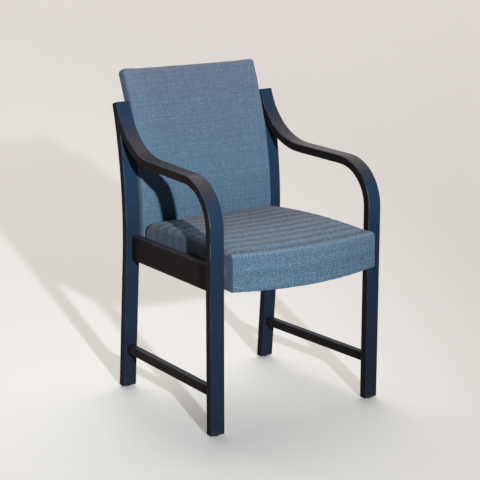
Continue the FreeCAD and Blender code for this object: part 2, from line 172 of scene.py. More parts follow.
class ChairClothSettings(bpy.types.PropertyGroup):
    """Colours and sizes of the tweed."""

    weft: rgb("Weft", "Colour of the yarn across the width", (0.142, 0.258, 0.355))
    weft_grey: rgb("Grey weft", "Colour where the weft turns to lavender grey", (0.235, 0.245, 0.335))
    warp: rgb("Warp", "Colour of the yarn along the length", (0.058, 0.156, 0.255))
    fleck: rgb("Fleck", "Colour of the pale slubs in the weft", (0.34, 0.39, 0.44))
    sheen: rgb("Sheen", "Tint of the nap at a low angle", (0.95, 0.72, 0.68))
    thread: metres("Thread", "Distance between yarns", 0.0021)
    seat_band: metres("Seat bands", "Distance between tonal bands on the seat", 0.0405)
    back_band: metres("Back bands", "Distance between tonal bands on the back", 0.0146)
    filling_steps: IntProperty(
        name="Filling steps", description="Frames over which the covers fill", default=20, min=2)
    voxel: metres("Voxel", "Mesh size of a cover while it fills", 0.005)


class ChairFinishSettings(bpy.types.PropertyGroup):
    """Colours of the wood, metal and plastic."""

    lacquer: rgb("Lacquer", "Navy lacquer on the bent frames", (0.0170, 0.0335, 0.0680))
    # Fresh lacquer is painted light: the lacquer is painted lighter above the seat.
    lacquer_painted_light: rgb(
        "Fresh lacquer", "Lacquer that has kept its colour, above the seat", (0.0200, 0.0510, 0.1060))
    # Dull lacquer is painted shade: the lacquer is painted darker towards the floor.
    lacquer_painted_shade: rgb(
        "Dull lacquer", "Lacquer that has dulled towards the floor", (0.0205, 0.0285, 0.0530))
    # Ply edges is painted shade: the frames' side faces are painted nearly black.
    lacquer_painted_side_shade: rgb(
        "Ply edges", "Lacquer soaked into the cut edges of the veneers", (0.0215, 0.0165, 0.0170))
    # Handled lacquer is a painted sheen on top of the arms.
    lacquer_painted_sheen: rgb(
        "Handled lacquer", "Lacquer on top of the arms, rubbed grey by hands", (0.054, 0.0515, 0.062))
    # Rubbed edges is a painted highlight along the rounded edges.
    lacquer_painted_highlight: rgb(
        "Rubbed edges", "Lacquer rubbed thin along the rounded edges", (0.110, 0.140, 0.165))
    lacquer_worn: rgb("Worn lacquer", "Lacquer rubbed pale near the floor", (0.040, 0.055, 0.080))
    beech: rgb("Beech", "Bare beech of the hidden frames", (0.52, 0.33, 0.18))
    plywood: rgb("Plywood", "Birch ply of the boards", (0.60, 0.45, 0.28))
    steel: rgb("Steel", "Zinc-plated steel of the screws and spacers", (0.72, 0.72, 0.71))
    brass: rgb("Brass", "Brass of the threaded inserts", (0.70, 0.50, 0.22))
    glide: rgb("Glide", "Dark plastic of the glides", (0.030, 0.030, 0.033))
    dust_cloth: rgb("Dust cloth", "Black felted cloth under the seat", (0.022, 0.022, 0.024))


class ChairStageSettings(bpy.types.PropertyGroup):
    """Camera, lamps and floor."""

    eye: xyz("Camera place", "Where the camera stands", (-2.10802, -2.99295, 1.28570))
    aim: xyz("Camera aim", "What the camera looks at", (-0.01108, 0.00840, 0.41520))
    lens: FloatProperty(
        name="Lens", description="Focal length on a 36 mm sensor, in millimetres", default=108.99)
    key_azimuth: degrees("Key azimuth", "Turn of the key lamp from the front, towards +X", -16.0)
    key_elevation: degrees("Key elevation", "Height of the key lamp above the horizon", 13.0)
    key_aim: xyz("Key aim", "What the key lamp points at", (-0.30, 0.10, 0.77))
    key_distance: metres("Key distance", "From the key lamp to its aim", 7.0)
    key_cone: degrees("Key cone", "Angle across the key lamp's light", 24.2)
    key_size: metres("Key size", "Radius of the key lamp, which softens its shadows", 0.09)
    key_colour: rgb("Key colour", "Colour of the key lamp", (0.98, 1.0, 1.0))
    key_strength: FloatProperty(
        name="Key strength", description="Light of the key lamp on what faces it", default=3.04)
    top_from: direction("Overhead direction", "The way to the overhead lamp", (0.46, 0.56, 1.00))
    top_spread: degrees("Overhead spread", "Angle across the overhead lamp, from the chair", 64.0)
    top_colour: rgb("Overhead colour", "Colour of the overhead lamp", (1.0, 0.85, 0.78))
    top_strength: FloatProperty(
        name="Overhead strength", description="Strength of the overhead lamp", default=1.68)
    rear_from: direction("Rear direction", "The way to the lamp behind the chair", (0.15, 1.00, 0.15))
    rear_spread: degrees("Rear spread", "Angle across the lamp behind, from the chair", 70.0)
    rear_colour: rgb("Rear colour", "Colour of the lamp behind the chair", (1.0, 0.93, 0.88))
    rear_strength: FloatProperty(
        name="Rear strength", description="Strength of the lamp behind the chair", default=0.85)
    floor: rgb("Floor", "Colour of the floor", (0.90, 0.97, 0.98))
    floor_glow: rgb(
        "Floor glow", "How much paler the floor is seen than the lamps make it", (0.150, 0.145, 0.140))
    floor_bounce: rgb(
        "Floor bounce", "Colour of the light that the floor gives back", (0.18, 0.135, 0.125))
    backdrop: rgb("Backdrop", "Colour seen past the floor", (0.637, 0.604, 0.565))
    ambient_colour: rgb("Ambient colour", "Colour of the light from all round", (1.0, 0.88, 0.82))
    ambient: FloatProperty(
        name="Ambient", description="Strength of the light from all round",
        default=0.020, subtype="FACTOR", min=0, max=1)


def smooth(value, low, high):
    """Smooth step: 0 below low, 1 above high, 3t^2 - 2t^3 between them."""
    t = np.clip((value - low) / (high - low), 0.0, 1.0)
    return t * t * (3.0 - 2.0 * t)


def corner_curve(before, corner, after, size, steps=9):
    """Quadratic curve round a corner: from the point a size before it, pulled to the corner, to a size
    past it."""
    before, corner, after = (np.asarray(p, float) for p in (before, corner, after))
    start = corner + size * (before - corner) / np.linalg.norm(before - corner)
    end = corner + size * (after - corner) / np.linalg.norm(after - corner)
    t = np.linspace(0.0, 1.0, steps)[:, None]
    return (1 - t) ** 2 * start + 2 * t * (1 - t) * corner + t ** 2 * end


def even_outline(points, count):
    """Closed outline cut into equal lengths: coordinates are read at even steps along the perimeter."""
    closed = np.vstack([points, points[:1]])
    length = np.concatenate([[0.0], np.cumsum(np.linalg.norm(np.diff(closed, axis=0), axis=1))])
    at = np.linspace(0.0, length[-1], count, endpoint=False)
    return np.stack([np.interp(at, length, closed[:, axis]) for axis in (0, 1)], axis=1)


def seat_half(size, y):
    """Half the seat's width at depth y: the side frames close in by the tangent of the toe-in."""
    widest = seat_low.y + size.bow + size.front_round
    return size.half_width - math.tan(size.toe_in) * (y - widest)


def seat_front(size, x):
    """Front line of the seat at x: a circle through both corners that stands the bow before them."""
    radius = (size.half_width ** 2 + size.bow ** 2) / (2 * size.bow)
    return seat_low.y + radius - np.sqrt(radius ** 2 - x ** 2)


def seat_outline(size, side_inset, front_inset, count):
    """Plan of the seat, anticlockwise: bowed front, straight sides that close in, straight rear, eased
    corners."""
    rear = seat_high.y - side_inset
    corner_y = seat_low.y + size.bow + front_inset
    front_x = seat_half(size, corner_y) - side_inset
    rear_x = seat_half(size, rear) - side_inset
    x = np.linspace(-front_x + size.front_round, front_x - size.front_round, 61)
    front = np.stack([x, seat_front(size, x) + front_inset], axis=1)
    left_front = (-front_x, float(seat_front(size, front_x)) + front_inset)
    right_front = (front_x, left_front[1])
    left_rear, right_rear = (-rear_x, rear), (rear_x, rear)
    return even_outline(np.vstack([
        corner_curve(left_rear, left_front, front[1], size.front_round),
        front,
        corner_curve(front[-2], right_front, right_rear, size.front_round),
        corner_curve(right_front, right_rear, left_rear, size.rear_round),
        corner_curve(right_rear, left_rear, left_front, size.rear_round),
    ]), count)


def back_outline(size, inset, count):
    """Flat pattern of the back, anticlockwise from below: width by length along the front's curve."""
    half = size.half_width - inset
    low = size.radius * size.bottom_angle + inset
    high = size.radius * size.top_angle - inset
    corners = [(-half, low), (half, low), (half, high), (-half, high)]
    rounds = [size.bottom_round, size.bottom_round, size.top_round, size.top_round]
    return even_outline(np.vstack([
        corner_curve(corners[i - 1], corners[i], corners[(i + 1) % 4], rounds[i]) for i in range(4)
    ]), count)


def pillow_rings(outline, bottom, top, low_round, top_round):
    """Closed body over an outline, as rings from the middle of the underside, round its edges, to the
    middle of the top. A ring is the outline moved towards its middle by the section's inset, shrunk on
    the two flat faces, at the section's height; the section is two quarter circles joined by a straight
    wall, and the upper circle's radius may change along the outline."""
    count = len(outline)
    flat = np.linspace(0.04, 1.0, 22)[:-1]
    turn = np.linspace(0.0, math.pi / 2, 7)[:, None]
    wall = np.linspace(0.0, 1.0, 10)[1:-1, None]
    round_up = np.broadcast_to(top_round, count)[None]
    round_low = np.full_like(round_up, low_round)
    shrink = np.concatenate([flat, np.ones(2 * len(turn) + len(wall)), flat[::-1]])
    inset = np.concatenate([
        np.repeat(round_low, len(flat), axis=0), round_low * (1 - np.sin(turn)),
        np.zeros((len(wall), count)),
        round_up * (1 - np.cos(turn)), np.repeat(round_up, len(flat), axis=0)])
    height = np.concatenate([
        np.full((len(flat), count), bottom), bottom + round_low * (1 - np.cos(turn)),
        bottom + round_low + (top - bottom - round_low - round_up) * wall,
        top - round_up * (1 - np.sin(turn)), np.full((len(flat), count), top)])
    middle = (outline.min(axis=0) + outline.max(axis=0)) / 2
    spoke = outline - middle
    scale = shrink[:, None] * (1 - inset / np.linalg.norm(spoke, axis=1)[None])
    plan = middle + spoke[None] * scale[..., None]
    return np.concatenate([plan, height[..., None]], axis=2)


def ring_faces(rings, around, sheet=False):
    """Quads between neighbouring rings and one face that closes each end, all turned outwards. On a level
    sheet, whose rings grow from its middle, the quads face up and one face closes the middle."""
    grid = np.arange(rings * around).reshape(rings, around)
    turned = np.roll(grid, -1, axis=1)
    quads = np.stack([grid[:-1], turned[:-1], turned[1:], grid[1:]], axis=-1).reshape(-1, 4)
    if sheet:
        return quads[:, ::-1].tolist() + [grid[0].tolist()]
    return quads.tolist() + [grid[0, ::-1].tolist(), grid[-1].tolist()]


def new_piece(name, points, faces):
    """A mesh object at the origin from an array of points."""
    mesh = bpy.data.meshes.new(name)
    mesh.from_pydata(points.reshape(-1, 3).tolist(), [], faces)
    mesh.update()
    piece = bpy.data.objects.new(name, mesh)
    bpy.context.scene.collection.objects.link(piece)
    return piece


def read_points(mesh, what="vertices"):
    """The mesh's points, or its point normals, as an array."""
    values = np.empty(len(mesh.vertices) * 3)
    if what == "normals":
        mesh.vertex_normals.foreach_get("vector", values)
    else:
        mesh.vertices.foreach_get("co", values)
    return values.reshape(-1, 3)


def write_points(mesh, points):
    """Move the mesh's points to the places in an array."""
    mesh.vertices.foreach_set("co", points.ravel())
    mesh.update()


def apply_modifiers(piece):
    """Keep the piece's shape as its modifiers make it, and drop them."""
    graph = bpy.context.evaluated_depsgraph_get()
    shaped = bpy.data.meshes.new_from_object(piece.evaluated_get(graph))
    rough = piece.data
    piece.modifiers.clear()
    piece.data = shaped
    bpy.data.meshes.remove(rough)


def fill_cover(piece, held_below, swell, cloth):
    """Fill a closed cover: an even voxel mesh, a cloth pushed out by pressure with its folded-under edge
    held, each point's way eased to at most the swell and hardly any of it inwards, then a subdivision."""
    most_inward = 0.0008
    remesh = piece.modifiers.new("even mesh", "REMESH")
    remesh.mode = "VOXEL"
    remesh.voxel_size = cloth.voxel
    apply_modifiers(piece)
    empty, facing = read_points(piece.data), read_points(piece.data, "normals")
    held = piece.vertex_groups.new(name="held")
    held.add(np.flatnonzero(empty[:, 2] < held_below).tolist(), 1.0, "REPLACE")
    modifier = piece.modifiers.new("filling", "CLOTH")
    fabric = modifier.settings
    fabric.quality = 6
    fabric.mass = 0.3
    fabric.tension_stiffness = 25
    fabric.compression_stiffness = 25
    fabric.shear_stiffness = 10
    fabric.bending_stiffness = 2
    fabric.use_pressure = True
    fabric.uniform_pressure_force = 4
    fabric.vertex_group_mass = "held"
    fabric.effector_weights.gravity = 0
    for step in range(1, cloth.filling_steps + 1):
        bpy.context.scene.frame_set(step)
    apply_modifiers(piece)
    piece.vertex_groups.clear()
    bpy.context.scene.frame_set(1)
    way = read_points(piece.data) - empty
    outward = np.sum(way * facing, axis=1, keepdims=True)
    way += facing * (np.maximum(outward, -most_inward) - outward)
    length = np.linalg.norm(way, axis=1)
    eased = swell * np.tanh(length / swell)
    write_points(piece.data, empty + way * (eased / np.maximum(length, 1e-9))[:, None])
    finer = piece.modifiers.new("finer", "SUBSURF")
    finer.levels = 1
    finer.render_levels = 1
    apply_modifiers(piece)
    piece.data.shade_smooth()


def reach_at(outline, middle, angle):
    """How far a closed outline lies from a middle point, in each direction given by its angle."""
    spoke = even_outline(outline, outline_points) - middle
    around = np.arctan2(spoke[:, 1], spoke[:, 0])
    reach = np.linalg.norm(spoke, axis=1)[np.argsort(around)]
    return np.interp(angle, np.sort(around), reach, period=2 * math.pi)


def pull_taut(points, outline):
    """Stretch a filled cover in plan until it meets the outline that it is pulled over: in each direction
    from the middle its reach becomes the outline's, and inside the edge the change falls off with the
    cube of the distance."""
    middle = (outline.min(axis=0) + outline.max(axis=0)) / 2
    spoke = points[:, :2] - middle
    angle = np.arctan2(spoke[:, 1], spoke[:, 0])
    hull = points[convex_hull_2d(points[:, :2].tolist()), :2]
    reach = reach_at(hull, middle, angle)
    share = np.linalg.norm(spoke, axis=1) / reach
    growth = 1.0 + (reach_at(outline, middle, angle) / reach - 1.0) * share ** 3
    points[:, :2] = middle + spoke * growth[:, None]
    return points


def lay_cloth(mesh, u, v, facing):
    """Store where each point lies on the flat cloth, in metres, and how it faces the sitter, 0 to 1."""
    place = mesh.attributes.get("cloth") or mesh.attributes.new("cloth", "FLOAT_VECTOR", "POINT")
    place.data.foreach_set("vector", np.stack([u, v, facing], axis=1).ravel())


def wrapped(points, normals, top, length_start):
    """Cloth coordinates of a pillow lying flat: across and along on the top, and on each side the way
    down it is added to the coordinate that the cloth was folded over."""
    drop = np.maximum(top - points[:, 2], 0.0)
    side = smooth(np.abs(normals[:, 0]), 0.35, 0.85) * np.sign(points[:, 0])
    end = smooth(np.abs(normals[:, 1]), 0.35, 0.85) * np.sign(normals[:, 1])
    return points[:, 0] + side * drop, points[:, 1] - length_start + end * drop


def dress(piece, material):
    """Put a finished piece on the chair's one body with its finish."""
    piece.data.materials.clear()
    piece.data.materials.append(material)
    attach(piece, "root")


class Tone:
    """A value that changes over a surface: a socket whose arithmetic adds Math nodes."""

    def __init__(self, socket):
        self.socket = socket

    def math(self, operation, *values):
        node = self.socket.id_data.nodes.new("ShaderNodeMath")
        node.operation = operation
        for entry, value in zip(node.inputs, values):
            join(entry, value)
        return Tone(node.outputs[0])

    def __add__(self, other):
        return self.math("ADD", self, other)

    def __radd__(self, other):
        return self.math("ADD", other, self)

    def __sub__(self, other):
        return self.math("SUBTRACT", self, other)

    def __rsub__(self, other):
        return self.math("SUBTRACT", other, self)

    def __mul__(self, other):
        return self.math("MULTIPLY", self, other)

    def __rmul__(self, other):
        return self.math("MULTIPLY", other, self)

    def __truediv__(self, other):
        return self.math("DIVIDE", self, other)

    def sine(self):
        return self.math("SINE", self)

    def whole(self):
        return self.math("FLOOR", self)

    def size(self):
        return self.math("ABSOLUTE", self)

    def most(self, other):
        return self.math("MAXIMUM", self, other)


def join(entry, value):
    """Link a tone to a node's input, or set the input's own value."""
    if isinstance(value, Tone):
        entry.id_data.links.new(value.socket, entry)
    else:
        entry.default_value = value


class Nodes:
    """The nodes of a material or of the surroundings."""

    def __init__(self, tree):
        self.tree = tree

    def add(self, kind, settings=None, sockets=None):
        """Add a node: its settings first, then the values or links of its inputs; gives its outputs."""
        node = self.tree.nodes.new(kind)
        for key, value in (settings or {}).items():
            setattr(node, key, value)
        for key, value in (sockets or {}).items():
            join(node.inputs[key], value)
        return [Tone(output) for output in node.outputs]

    def seen(self):
        """1 on a ray that is looked along, straight, in a reflection or through glass, else 0."""
        way = self.add("ShaderNodeLightPath")
        return way[0].most(way[3]).most(way[6])


class Finish(Nodes):
    """The nodes of one material, round a shader whose constants are given by name."""

    def __init__(self, name, **constants):
        self.material = bpy.data.materials.new(name)
        self.material.use_nodes = True
        super().__init__(self.material.node_tree)
        self.shader = self.tree.nodes["Principled BSDF"]
        for key, value in constants.items():
            socket = key.replace("_", " ").title().replace("Ior", "IOR")
            self.shader.inputs[socket].default_value = value

    def object_place(self):
        return self.add("ShaderNodeTexCoord")[3]

    def stretch(self, vector, factors):
        return self.add("ShaderNodeVectorMath", {"operation": "MULTIPLY"}, {0: vector, 1: factors})[0]

    def parts(self, vector):
        return self.add("ShaderNodeSeparateXYZ", None, {0: vector})

    def vector(self, x, y, z):
        return self.add("ShaderNodeCombineXYZ", None, {0: x, 1: y, 2: z})[0]

    def noise(self, vector, scale=1.0, detail=2.0, roughness=0.5):
        return self.add("ShaderNodeTexNoise", None, {
            "Vector": vector, "Scale": scale, "Detail": detail, "Roughness": roughness})[0]

    def streaks(self, vector, factors, detail=2.0, roughness=0.5):
        """Noise that is finer along an axis the higher its factor is."""
        return self.noise(self.stretch(vector, factors), 1.0, detail, roughness)

    def random(self, number):
        return self.add("ShaderNodeTexWhiteNoise", {"noise_dimensions": "1D"}, {"W": number})[0]

    def step(self, value, low, high):
        return self.add("ShaderNodeMapRange", {"interpolation_type": "SMOOTHSTEP"}, {
            "Value": value, "From Min": low, "From Max": high})[0]

    def mix(self, factor, first, second):
        one, other = (c if isinstance(c, Tone) else (*c, 1.0) for c in (first, second))
        return self.add("ShaderNodeMix", {"data_type": "RGBA"}, {0: factor, 6: one, 7: other})[2]

    def shade(self, colour, tone):
        return self.add("ShaderNodeVectorMath", {"operation": "SCALE"}, {0: colour, 3: tone})[0]

    def surface(self, colour, roughness, height, strength, distance):
        """Feed the shader: colour, roughness, and a height in units of the distance as bump."""
        join(self.shader.inputs["Base Color"], colour)
        join(self.shader.inputs["Roughness"], roughness)
        bump = self.add("ShaderNodeBump", None, {
            "Strength": strength, "Distance": distance, "Height": height})[0]
        join(self.shader.inputs["Normal"], bump)
        return self.material


# How each cloth's tone changes over it, with painted light and shade. A pair says where a change starts
# and ends on the cloth, in metres: along it for greyed, the painted warm light on the upper back and the
# painted light on the rear of the seat's sides, for the painted sheen on the back's top band, for the
# painted shade low on the back and on the seat's front, and for the painted shade at the seat's rear; and
# out from its middle for margin, where the back is lighter towards its sides. Mottle is noise cells in a
# metre. The other values are shares of the yarns' tone.
never = (1.0, 2.0)
seat_weave = SimpleNamespace(
    level=1.01, bands=0.25, flecks=0.60, grain=0.80, mottle=225.0, uneven=0.15, streaks=0.20,
    greyed=(0.25, 0.50), greyed_top=0.0, painted_top_sheen=never, sides=0.40,
    painted_low_shade=(-0.08, 0.0), painted_low_shade_drop=0.13, painted_rear_shade=(0.10, 0.37), painted_rear_shade_drop=0.33,
    margin=never, margin_gain=0.0)
back_weave = SimpleNamespace(
    level=0.94, bands=0.024, flecks=0.48, grain=0.42, mottle=280.0, uneven=0.08, streaks=0.44,
    greyed=(0.15, 0.45), greyed_top=0.45, painted_top_sheen=(0.370, 0.450), sides=0.0,
    painted_low_shade=(-0.05, 0.26), painted_low_shade_drop=0.19, painted_rear_shade=never, painted_rear_shade_drop=0.0,
    margin=(0.125, 0.205), margin_gain=0.10)


def tweed(name, cloth, band, weave):
    """Tweed: a plain weave of dark warp and pale weft, yarns of uneven tone, pale slubs in the weft, soft
    tonal bands across the width, streaks both ways, and painted light and shade: a greyer, lighter wash
    on the upper back and the rear of the seat's sides, a painted sheen on the back's top band, a painted
    highlight on the rims, and painted shade low on the back, low on the seat's front and at the seat's
    rear."""
    finish = Finish(
        name, sheen_weight=0.16, sheen_roughness=0.45, sheen_tint=(*cloth.sheen, 1.0),
        specular_ior_level=0.15)
    place = finish.add("ShaderNodeAttribute", {"attribute_name": "cloth"})[1]
    u, v, facing = finish.parts(place)

    # The weave: which yarn is on top, each yarn's own tone, slubs in the weft and knots in the warp.
    across, along = u / cloth.thread, v / cloth.thread
    row, column = along.whole(), across.whole()
    over = (across * math.pi).sine() * (along * math.pi).sine()
    warp_on_top = finish.step(over, -0.35, 0.35)
    row_tone, column_tone = finish.random(row), finish.random(column + 0.37)
    slub = finish.noise(finish.vector(u * 95.0, row * 3.7, 0.0), 1.0, 2.0, 0.6)
    fleck = finish.step(slub, 0.52, 0.74) * finish.step(row_tone, 0.10, 0.90)
    knot = finish.noise(finish.vector(column * 3.7, v * 130.0, 4.0), 1.0, 2.0, 0.6)
    dark_knot = finish.step(knot, 0.54, 0.76)

    # Mottle, from broad drifts to single fibres.
    drift = finish.streaks(place, (18.0, 26.0, 0.0), 3.0, 0.6)
    hue = finish.step(finish.streaks(place, (60.0, 110.0, 0.0), 4.0, 0.7), 0.34, 0.66)
    cells = (weave.mottle, weave.mottle * 1.18, 0.0)
    speck = finish.step(finish.streaks(place, cells, 3.0, 0.7), 0.30, 0.70)
    crosswise = finish.streaks(place, (36.0, 240.0, 0.0), 2.0, 0.6)
    lengthwise = finish.streaks(place, (250.0, 34.0, 0.0), 2.0, 0.6)
    fibre = finish.streaks(place, (900.0, 900.0, 0.0), 3.0, 0.7)

    # Bands that wander and fray, weaker where the cloth turns away from the sitter.
    wander = finish.streaks(place, (9.0, 5.0, 0.0), 1.0)
    hatch = finish.streaks(place, (170.0, 62.0, 0.0), 2.0, 0.6)
    wave = (v * (2 * math.pi / band) + wander * 1.6).sine() + (hatch - 0.5) * 6.0
    wave = wave * (0.3 + facing * 0.7)

    # Painted light and shade along the cloth: a greyer, lighter wash on the upper back and the rear of
    # the seat's sides, a painted sheen on the back's top band, painted shade low down and at the seat's
    # rear, a painted highlight on the rim where it turns over; and lighter towards the back's sides.
    painted_light_along, painted_top_sheen = finish.step(v, *weave.greyed), finish.step(v, *weave.painted_top_sheen)
    low, painted_rear_shade = finish.step(v, *weave.painted_low_shade), finish.step(v, *weave.painted_rear_shade)
    margin = finish.step(u.size(), *weave.margin) * low
    painted_rim_highlight = facing * (1 - facing)
    # The tone: random unevenness, drifts, knots, mottle and streaks, then painted highlight on the rim,
    # lighter towards the back's sides, painted light on the seat's sides, and painted shade low down and
    # at the seat's rear.
    tone = weave.level + (row_tone + column_tone - 1) * weave.uneven + drift * 0.16 - dark_knot * 0.18
    tone = tone + (speck - 0.5) * weave.grain + (crosswise + lengthwise - 1) * weave.streaks
    tone = tone + painted_rim_highlight * 0.38 + margin * weave.margin_gain + painted_light_along * (1 - facing) * weave.sides
    tone = tone - (1 - low) * weave.painted_low_shade_drop - painted_rear_shade * weave.painted_rear_shade_drop
    # The share of lavender grey: random hue, then painted warm light on the upper back and the seat's
    # sides, painted highlight on the rim and painted sheen on the back's top band.
    grey = hue * (0.25 + low * (1 - painted_rear_shade) * 0.35) + painted_light_along * (0.9 - facing * (0.9 - weave.greyed_top))
    grey = grey + painted_rim_highlight * 1.1 + painted_top_sheen * 0.55

    yarns = finish.mix(warp_on_top, finish.mix(grey, cloth.weft, cloth.weft_grey), cloth.warp)
    flecked = finish.mix(fleck * weave.flecks, yarns, cloth.fleck)
    colour = finish.shade(flecked, tone + wave * weave.bands)
    height = over * 0.25 + fleck * 0.35 + speck * 0.3 + fibre * 0.5 + wave * 0.15
    return finish.surface(colour, 0.82 + fibre * 0.14, height, 0.45, 0.0009)


def navy_lacquer(settings):
    """Satin lacquer over bent beech: fine grain lines along each bend, since the grain changes only
    across the width; a slight orange peel; painted shade on the frames' side faces, painted light above
    the seat and painted shade towards the floor, a painted sheen on top of the arms, a painted highlight
    along the rounded edges, and worn patches at the feet."""
    finish = Finish("navy_lacquer", specular_ior_level=0.02, coat_roughness=0.20, coat_ior=1.4)
    place = finish.object_place()
    grain = finish.streaks(place, (520.0, 9.0, 9.0), 4.0, 0.65)
    pores = finish.step(finish.streaks(place, (1300.0, 40.0, 40.0)), 0.58, 0.70)
    cloud = finish.noise(place, 14.0, 3.0, 0.55)
    peel = finish.noise(place, 380.0)
    height = finish.parts(place)[2]
    scuffs = finish.step(finish.noise(place, 60.0, 4.0, 0.65), 0.50, 0.68)
    rubbed = (1 - finish.step(height, 0.004, 0.10)) * scuffs
    sideways, _, upward = finish.parts(finish.add("ShaderNodeNewGeometry")[1])
    turn = sideways * sideways
    # Painted shade: faces that turn across the chair, the frames' sides, are painted dark.
    painted_side_shade = finish.step(turn, 0.45, 0.90)
    # Painted highlight in patches along the rounded edges, fading towards the floor.
    patches = finish.step(finish.noise(place, 24.0, 3.0, 0.6), 0.38, 0.62)
    painted_edge_highlight = finish.step(turn * (1 - turn), 0.08, 0.22) * patches * finish.step(height, 0.05, 0.60)
    # Top of the arms: a painted sheen in the colour, and a little more coat.
    arm_top_sheen_and_polish = finish.step(upward, 0.36, 0.90) * finish.step(height, 0.38, 0.41)
    # Painted shade towards the floor and painted light above the seat.
    lacquer_with_painted_light = finish.mix(finish.step(height, 0.02, 0.34), settings.lacquer_painted_shade, settings.lacquer)
    lacquer_with_painted_light = finish.mix(finish.step(height, 0.38, 0.60), lacquer_with_painted_light, settings.lacquer_painted_light)
    lacquer_with_painted_light = finish.mix(painted_side_shade, lacquer_with_painted_light, settings.lacquer_painted_side_shade)
    lacquer_with_painted_light = finish.mix(arm_top_sheen_and_polish * (0.75 + cloud * 0.35), lacquer_with_painted_light, settings.lacquer_painted_sheen)
    lacquer_with_painted_light = finish.mix(painted_edge_highlight * 0.75, lacquer_with_painted_light, settings.lacquer_painted_highlight)
    lacquer_with_painted_light = finish.shade(lacquer_with_painted_light, 0.80 + cloud * 0.30 + grain * 0.16 - pores * 0.12)
    colour = finish.mix(rubbed * 0.55, lacquer_with_painted_light, settings.lacquer_worn)
    join(finish.shader.inputs["Coat Weight"], 0.04 + arm_top_sheen_and_polish * 0.10 - rubbed * 0.03)
    roughness = 0.40 + cloud * 0.10 + rubbed * 0.20
    return finish.surface(colour, roughness, grain * 0.5 - pores * 0.5 + peel * 0.35, 0.16, 0.0005)


def bare_wood(name, colour, stretch):
    """Planed timber: long growth streaks along the piece's length and short dark rays."""
    finish = Finish(name, specular_ior_level=0.3)
    place = finish.object_place()
    streak = finish.streaks(place, stretch, 5.0, 0.6)
    ray = finish.step(finish.streaks(place, (180.0, 180.0, 520.0)), 0.60, 0.72)
    shown = finish.shade(tuple(colour), 0.72 + streak * 0.55 - ray * 0.18)
    return finish.surface(shown, 0.55 + streak * 0.2, streak - ray * 0.4, 0.2, 0.0004)


def plated_metal(name, colour, shine):
    """Plated metal: clouded roughness and fine turning marks."""
    finish = Finish(name, metallic=1.0)
    place = finish.object_place()
    cloud = finish.noise(place, 160.0, 3.0, 0.6)
    marks = finish.streaks(place, (2600.0, 300.0, 300.0))
    shown = finish.shade(tuple(colour), 0.85 + cloud * 0.3)
    return finish.surface(shown, shine + cloud * 0.18, marks, 0.08, 0.0002)


def moulded_plastic(settings):
    """Moulded plastic with a fine spark-eroded grain and dust near its sole."""
    finish = Finish("glide_plastic", specular_ior_level=0.45)
    place = finish.object_place()
    grain = finish.noise(place, 1500.0)
    dust = finish.noise(place, 220.0, 4.0, 0.65)
    shown = finish.shade(tuple(settings.glide), 0.8 + dust * 0.5)
    return finish.surface(shown, 0.48 + dust * 0.25, grain, 0.2, 0.0002)


def felted_cloth(settings):
    """Black felted cloth: crossed fibres and a fine pressed dot pattern."""
    finish = Finish("dust_cloth", specular_ior_level=0.15, sheen_weight=0.15)
    place = finish.object_place()
    x, y, _ = finish.parts(place)
    dots = finish.step((x * 2600.0).sine() * (y * 2600.0).sine(), 0.25, 0.75)
    fibre = finish.streaks(place, (900.0, 240.0, 400.0), 3.0, 0.65)
    crossed = finish.streaks(place, (240.0, 900.0, 400.0), 3.0, 0.65)
    shown = finish.shade(tuple(settings.dust_cloth), 0.65 + fibre * 0.35 + crossed * 0.35 - dots * 0.15)
    return finish.surface(shown, 0.85 + fibre * 0.1, fibre + crossed - dots, 0.3, 0.0003)


def pale_floor(settings):
    """Plain pale floor with a barely clouded tone, which shows paler than the light it gives back."""
    finish = Finish("pale_floor", specular_ior_level=0.25, emission_strength=1.0)
    cloud = finish.noise(finish.object_place(), 1.3, 3.0)
    glow = finish.shade(tuple(settings.floor_glow), finish.seen())
    join(finish.shader.inputs["Emission Color"], glow)
    bounced = finish.add("ShaderNodeLightPath")[2]
    shown = finish.shade(
        finish.mix(bounced, settings.floor, settings.floor_bounce), 0.97 + cloud * 0.06)
    return finish.surface(shown, 0.6 + cloud * 0.1, cloud, 0.02, 0.001)


class CHAIR_OT_finish_solids(bpy.types.Operator):
    """Give every solid that stays in sight the finish of its material slot"""

    bl_idname = "chair.finish_solids"
    bl_label = "Wood, metal and plastic"
    bl_options = {"REGISTER", "UNDO"}

    def execute(self, context):
        settings = context.scene.chair_finish
        finishes = {
            "lacquered_wood": navy_lacquer(settings),
            "beech": bare_wood("beech", settings.beech, (60.0, 14.0, 90.0)),
            "plywood": bare_wood("plywood", settings.plywood, (55.0, 9.0, 300.0)),
            "steel": plated_metal("steel", settings.steel, 0.24),
            "insert_brass": plated_metal("insert_brass", settings.brass, 0.30),
            "glide_plastic": moulded_plastic(settings),
        }
        for part in frame["record"]["subparts"]:
            material = finishes.get(part["material_slot"])
            if material is None:
                continue
            mesh = frame["nodes"][part["node"]].data
            mesh.materials.clear()
            mesh.materials.append(material)
        return {"FINISHED"}


